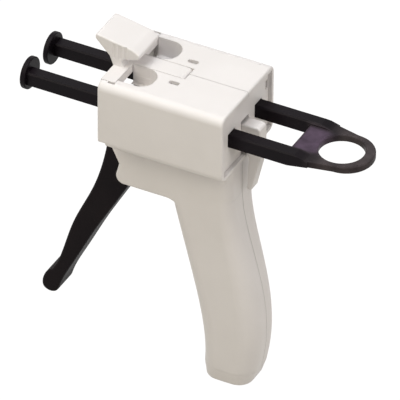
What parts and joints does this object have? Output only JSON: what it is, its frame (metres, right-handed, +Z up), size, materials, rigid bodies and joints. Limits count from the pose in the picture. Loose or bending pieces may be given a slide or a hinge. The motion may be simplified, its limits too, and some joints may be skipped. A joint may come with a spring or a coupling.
{
  "type": "dental dispensing tool",
  "caption": "Hand-squeezed pistol dispenser for twin-barrel paste cartridges, with a toothed double plunger, finger ring, drive pawl, thumb release and lock lever.",
  "frame": {"origin": "centre of the cartridge seat: on the face the cartridge flange bears on, half way between the two cartridge barrels, at the height of their axes", "axes": "-X is the way the paste is pushed, +Y is to the right seen from behind, +Z is up through the lock lever"},
  "size_m": [0.2019, 0.061, 0.2048],
  "materials": {
    "pale_plastic": "fine moulded texture, slightly satin",
    "black_plastic": "glass-filled black moulding, satin",
    "bright_steel": "plain bright steel"
  },
  "bodies": {
    "housing": {"housing_left": "pale_plastic", "housing_right": "pale_plastic", "rear_guide_plate": "pale_plastic", "grip_base_cap": "pale_plastic", "trigger_pin": "bright_steel", "release_pin": "bright_steel", "lock_pin": "bright_steel", "brake_spring": "bright_steel", "housing_screws": "bright_steel"},
    "plunger": {"double_plunger": "black_plastic", "pressure_disc_left": "black_plastic", "pressure_disc_right": "black_plastic"},
    "trigger": {"trigger": "black_plastic", "trigger_spring": "bright_steel", "pawl_pin": "bright_steel"},
    "pawl": {"drive_pawl": "bright_steel", "pawl_spring": "bright_steel"},
    "release": {"release_lever": "pale_plastic", "release_spring": "bright_steel"},
    "lock": {"lock_lever": "pale_plastic", "lock_spring": "bright_steel"}
  },
  "joints": [
    {"name": "plunger_slide", "type": "slide", "parent": "housing", "child": "plunger", "axis": [-1, 0, 0], "range_m": [-0.06, 0.018]},
    {"name": "trigger_squeeze", "type": "hinge", "parent": "housing", "child": "trigger", "pos_m": [0.021, 0, -0.0297], "axis": [0, -1, 0], "range_deg": [0, 26], "stiffness_Nm_per_rad": 0.2, "springref_deg": -34.38},
    {"name": "pawl_rock", "type": "hinge", "parent": "trigger", "child": "pawl", "pos_m": [0.03474, 0, -0.01435], "axis": [0, -1, 0], "range_deg": [0, 14]},
    {"name": "release_press", "type": "hinge", "parent": "housing", "child": "release", "pos_m": [0.0605, 0, -0.014], "axis": [0, 1, 0], "range_deg": [0, 7], "stiffness_Nm_per_rad": 0.04, "springref_deg": -28.65},
    {"name": "lock_lift", "type": "hinge", "parent": "housing", "child": "lock", "pos_m": [0.0317, 0, 0.0173], "axis": [0, 1, 0], "range_deg": [0, 65], "stiffness_Nm_per_rad": 0.01, "springref_deg": -22.92}
  ],
  "couplings": [
    {"joint": "pawl_rock", "follows": "release_press", "ratio": 2}
  ]
}
